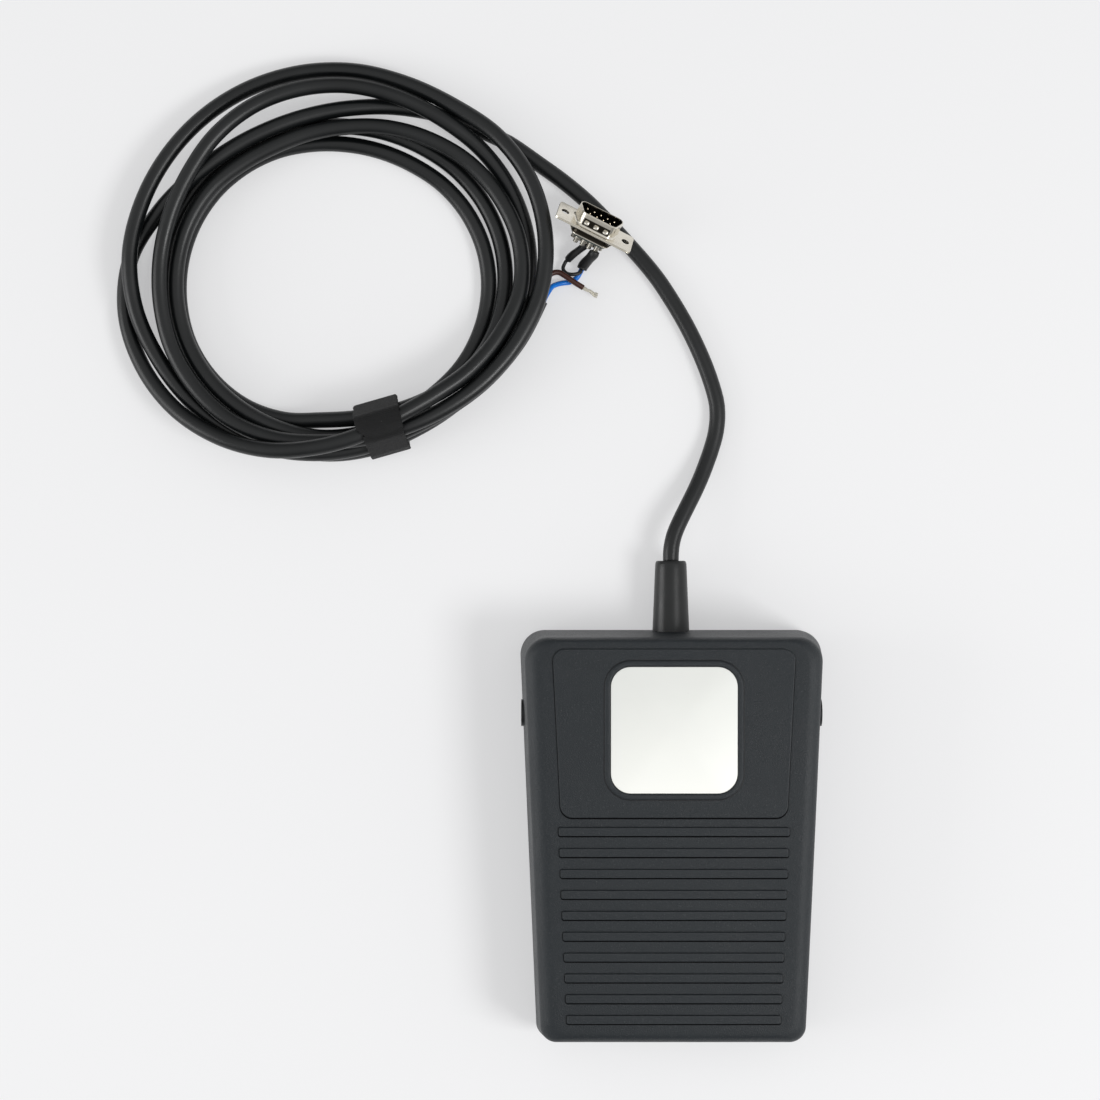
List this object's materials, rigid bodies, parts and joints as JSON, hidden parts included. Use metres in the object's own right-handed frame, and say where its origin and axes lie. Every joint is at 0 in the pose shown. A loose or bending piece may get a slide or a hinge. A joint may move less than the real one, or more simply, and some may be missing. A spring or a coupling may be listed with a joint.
{
  "type": "foot switch",
  "caption": "Foot switch: ribbed treadle cover hinged over a moulded base, a snap switch inside, and a long coiled lead soldered to a nine-way plug.",
  "frame": {"origin": "centre of the pedal's footprint, on the floor that its rubber feet stand on", "axes": "+Z up, +Y from the ribbed end that the foot presses towards the end where the lead leaves, +X to the right when seen from above with +Y up"},
  "size_m": [0.2631, 0.3647, 0.0392],
  "materials": {
    "cover_plastic": "fine-grained black ABS moulding",
    "base_plastic": "matt black moulding",
    "badge": "satin silver plate, left bare",
    "rubber": "matt black rubber",
    "jacket": "semi-matt black jacket",
    "steel": "plain steel",
    "switch_body": "dark grey phenolic moulding",
    "plunger": "red button",
    "brass": "plated brass",
    "strap": "black hook-and-loop tape",
    "brown_core": "brown insulation",
    "blue_core": "blue insulation",
    "copper": "bare copper strands, tinned",
    "shrink": "black shrink tubing",
    "plated_shell": "tin-plated steel, slightly dulled",
    "insulator": "black moulding"
  },
  "bodies": {
    "base": {"base_tray": "base_plastic", "foot_pads": "rubber", "hinge_pin_left": "base_plastic", "hinge_pin_right": "base_plastic", "return_springs": "steel", "switch_case": "switch_body", "switch_cover": "switch_body", "switch_terminals": "brass", "switch_screws": "steel", "cord_clamp": "base_plastic", "clamp_screws": "steel", "cord_tail": "jacket", "inner_core_brown": "brown_core", "inner_core_blue": "blue_core", "strain_relief": "rubber", "cord_lead": "jacket", "cord_coil": "jacket", "coil_strap": "strap", "core_brown": "brown_core", "core_blue": "blue_core", "bare_end": "copper", "shrink_sleeve_long": "shrink", "shrink_sleeve_short": "shrink", "jumper_wires": "shrink", "plug_front_shell": "plated_shell", "plug_rear_shell": "plated_shell", "plug_insulator": "insulator", "plug_contacts": "brass"},
    "treadle": {"treadle_cover": "cover_plastic", "badge_plate": "badge"},
    "switch_lever_body": {"switch_lever": "steel"},
    "switch_plunger_body": {"switch_plunger": "plunger"}
  },
  "joints": [
    {"name": "treadle_hinge", "type": "hinge", "parent": "base", "child": "treadle", "pos_m": [0, 0.0455, 0.014], "axis": [1, 0, 0], "range_deg": [0, 3], "stiffness_Nm_per_rad": 5, "springref_deg": -5.73, "deforming": ["return_springs"]},
    {"name": "lever_hinge", "type": "hinge", "parent": "base", "child": "switch_lever_body", "pos_m": [0, 0.006, 0.0271], "axis": [1, 0, 0], "range_deg": [0, 9.6]},
    {"name": "plunger_slide", "type": "slide", "parent": "base", "child": "switch_plunger_body", "axis": [0, 0, 1], "range_m": [-0.00118, 0]}
  ],
  "couplings": [
    {"joint": "lever_hinge", "follows": "treadle_hinge", "ratio": 3.1944},
    {"joint": "plunger_slide", "follows": "treadle_hinge", "m_per_rad": -0.022361}
  ]
}
